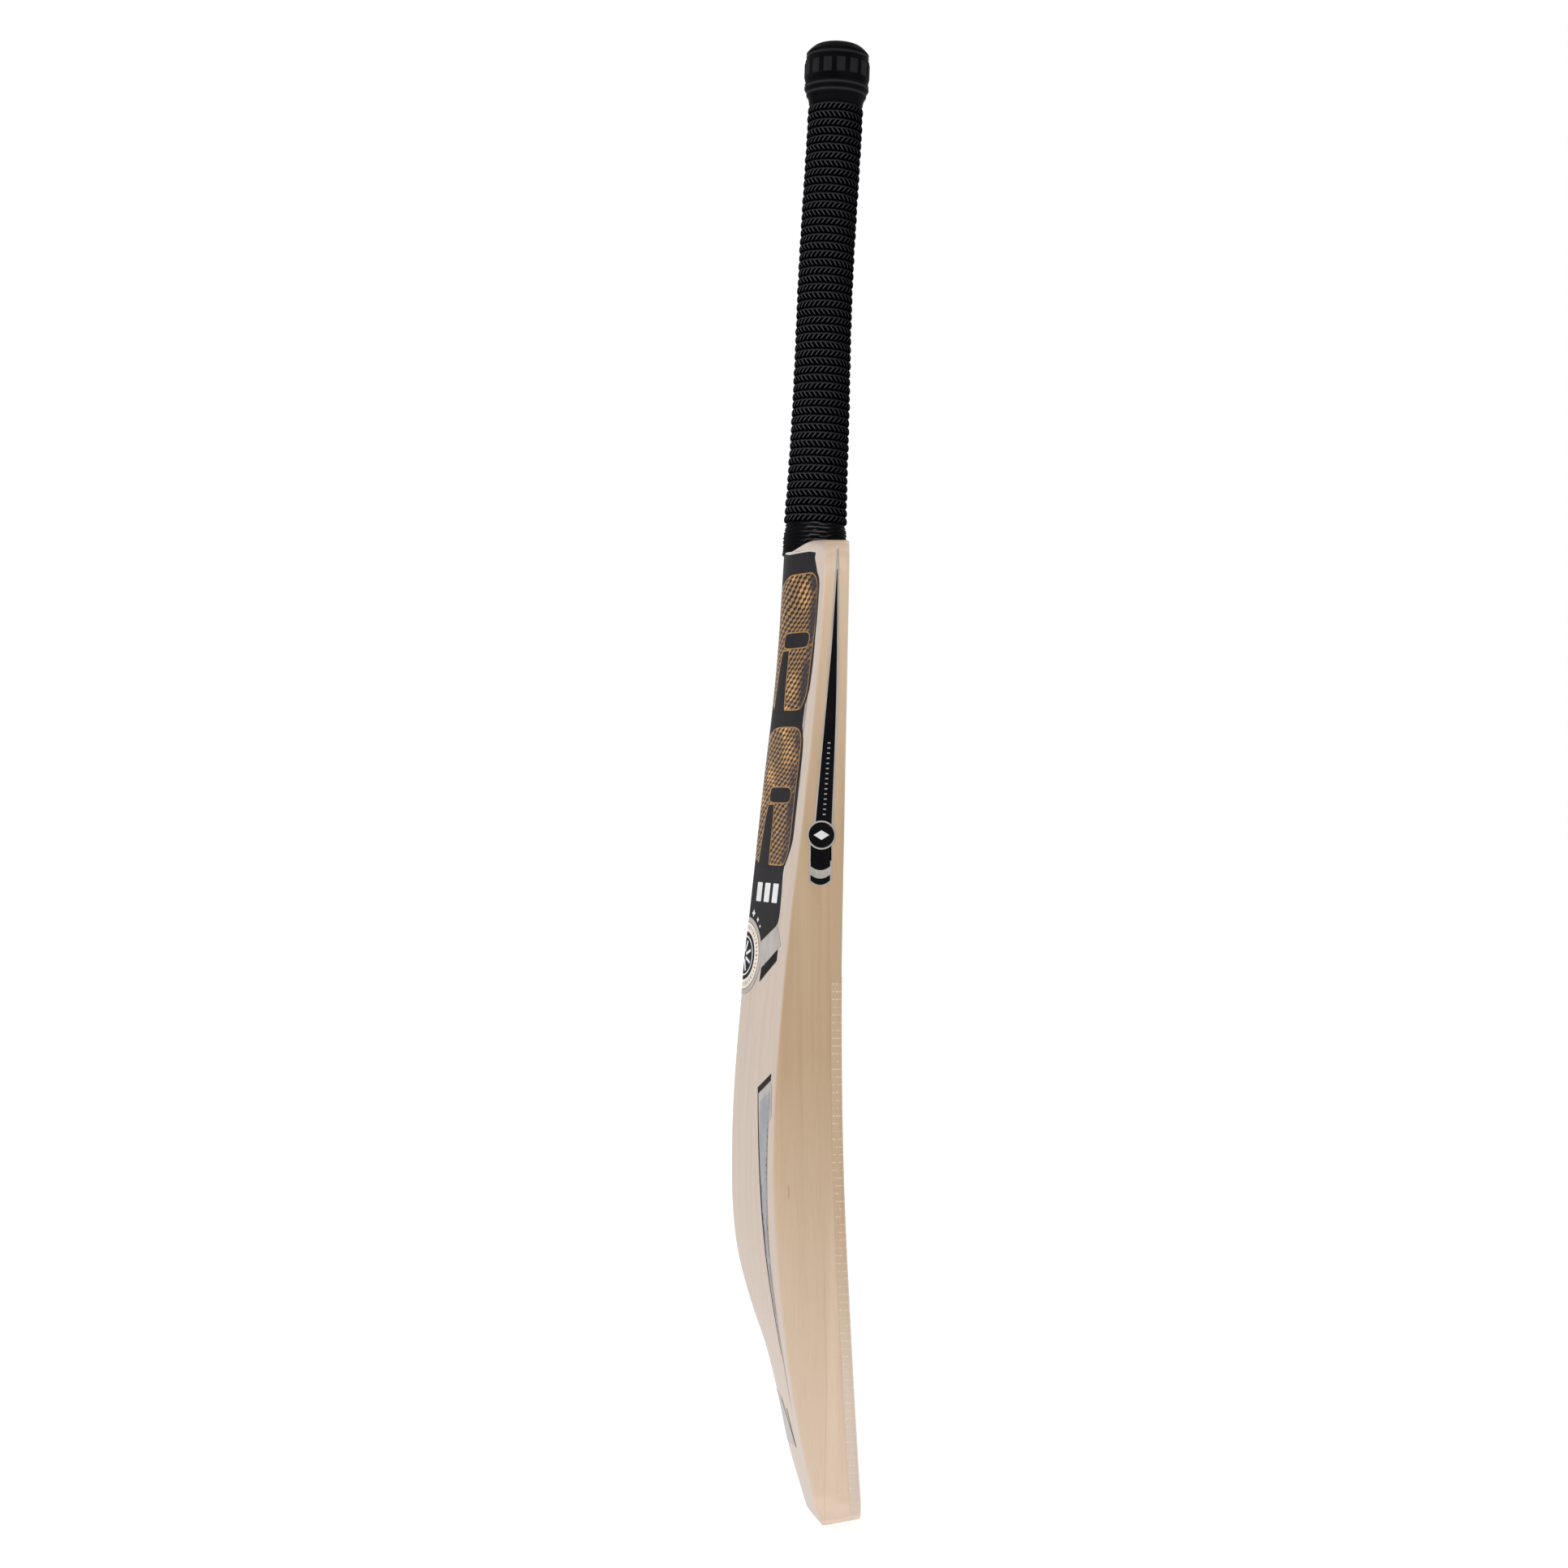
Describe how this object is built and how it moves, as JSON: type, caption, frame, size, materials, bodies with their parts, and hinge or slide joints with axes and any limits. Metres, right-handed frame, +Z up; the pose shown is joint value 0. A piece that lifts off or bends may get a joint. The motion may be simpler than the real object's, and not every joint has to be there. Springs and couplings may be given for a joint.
{
  "type": "cricket bat",
  "caption": "Full-size willow cricket bat with a high spine, thick edges, spliced cane handle, ridged rubber grip and a fibre-faced hitting surface.",
  "frame": {"origin": "middle of the flat end of the toe, where the bat stands upright", "axes": "+Z up the bat from the toe to the top of the handle, -Y out of the hitting face, +Y out of the spine, X across the blade"},
  "size_m": [0.1092, 0.0807, 0.851],
  "materials": {
    "willow": "sanded, oiled and lightly polished",
    "cane": "turned and glued, unpolished",
    "spring_rubber": "plain",
    "thread": "waxed thread",
    "grip_rubber": "moulded, satin",
    "fibre_facing": "fibre mesh under clear film",
    "sticker_film": "printed film"
  },
  "bodies": {
    "root": {"blade": "willow", "handle_binding": "thread", "grip": "grip_rubber", "facing_sheet": "fibre_facing", "back_sticker": "sticker_film", "edge_sticker_left": "sticker_film", "edge_sticker_right": "sticker_film", "lower_sticker_left": "sticker_film", "lower_sticker_right": "sticker_film", "toe_sticker": "sticker_film", "cane_front_left": "cane", "cane_front_centre": "cane", "cane_front_right": "cane", "cane_mid_front_left": "cane", "cane_mid_front_centre": "cane", "cane_mid_front_right": "cane", "cane_mid_back_left": "cane", "cane_mid_back_centre": "cane", "cane_mid_back_right": "cane", "cane_back_left": "cane", "cane_back_centre": "cane", "cane_back_right": "cane", "rubber_spring_front": "spring_rubber", "rubber_spring_middle": "spring_rubber", "rubber_spring_back": "spring_rubber"}
  },
  "joints": []
}
